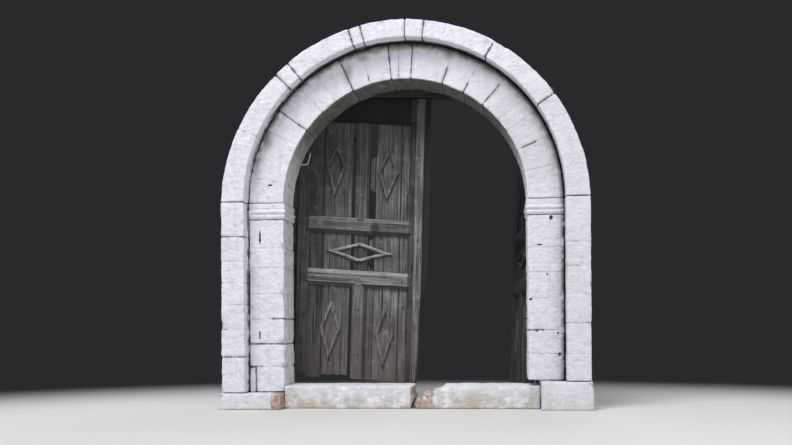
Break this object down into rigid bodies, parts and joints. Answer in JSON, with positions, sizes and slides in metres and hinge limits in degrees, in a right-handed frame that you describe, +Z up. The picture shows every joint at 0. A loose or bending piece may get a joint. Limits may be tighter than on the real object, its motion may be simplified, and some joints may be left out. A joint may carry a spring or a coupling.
{
  "type": "arched double door with stone portal",
  "caption": "Weathered planked double door with lozenge mouldings in a timber frame behind an arched two-order stone portal; one leaf stands open.",
  "frame": {"origin": "on the ground, on the centre line of the doorway, in the plane of the inner stone order's face", "axes": "+Z up, +Y into the building, +X to the right seen from the street"},
  "size_m": [2.72, 1.5492, 2.8256],
  "materials": {
    "whitewashed_stone": "matte",
    "weathered_wood": "matte",
    "rusted_iron": "matte"
  },
  "bodies": {
    "portal": {"arch_voussoirs": "whitewashed_stone", "archivolt_stones": "whitewashed_stone", "head_beam": "weathered_wood", "left_base_stone": "whitewashed_stone", "left_hook": "rusted_iron", "left_impost": "whitewashed_stone", "left_jamb_blocks": "whitewashed_stone", "left_pintles": "rusted_iron", "left_post": "weathered_wood", "left_quoins": "whitewashed_stone", "left_sill": "whitewashed_stone", "right_base_stone": "whitewashed_stone", "right_impost": "whitewashed_stone", "right_jamb_blocks": "whitewashed_stone", "right_peg": "rusted_iron", "right_pintles": "rusted_iron", "right_post": "weathered_wood", "right_quoins": "whitewashed_stone", "right_sill": "whitewashed_stone"},
    "left_leaf": {"left_astragal": "weathered_wood", "left_hinge_stile": "weathered_wood", "left_ledges": "weathered_wood", "left_lock_staple": "rusted_iron", "left_lower_lock_rail": "weathered_wood", "left_lower_lozenges": "weathered_wood", "left_lower_muntin": "weathered_wood", "left_meeting_stile": "weathered_wood", "left_middle_lozenge": "weathered_wood", "left_plank_1": "weathered_wood", "left_plank_2": "weathered_wood", "left_plank_3": "weathered_wood", "left_plank_4": "weathered_wood", "left_plank_5": "weathered_wood", "left_plank_6": "weathered_wood", "left_straps": "rusted_iron", "left_top_rail": "weathered_wood", "left_upper_lock_rail": "weathered_wood", "left_upper_lozenges": "weathered_wood", "left_upper_muntin": "weathered_wood"},
    "right_leaf": {"right_hinge_stile": "weathered_wood", "right_ledges": "weathered_wood", "right_lower_lock_rail": "weathered_wood", "right_lower_lozenges": "weathered_wood", "right_lower_muntin": "weathered_wood", "right_meeting_stile": "weathered_wood", "right_middle_lozenge": "weathered_wood", "right_plank_1": "weathered_wood", "right_plank_2": "weathered_wood", "right_plank_3": "weathered_wood", "right_plank_4": "weathered_wood", "right_plank_5": "weathered_wood", "right_straps": "rusted_iron", "right_top_rail": "weathered_wood", "right_upper_lock_rail": "weathered_wood", "right_upper_lozenges": "weathered_wood", "right_upper_muntin": "weathered_wood"}
  },
  "joints": [
    {"name": "left_leaf_swing", "type": "hinge", "parent": "portal", "child": "left_leaf", "pos_m": [-0.96752, 0.4663, 0.20041], "axis": [0.0314, 0, 0.9995], "range_deg": [0, 95]},
    {"name": "right_leaf_swing", "type": "hinge", "parent": "portal", "child": "right_leaf", "pos_m": [0.96752, 0.4683, 0.13959], "axis": [0.0314, 0, 0.9995], "range_deg": [-13, 82]}
  ]
}
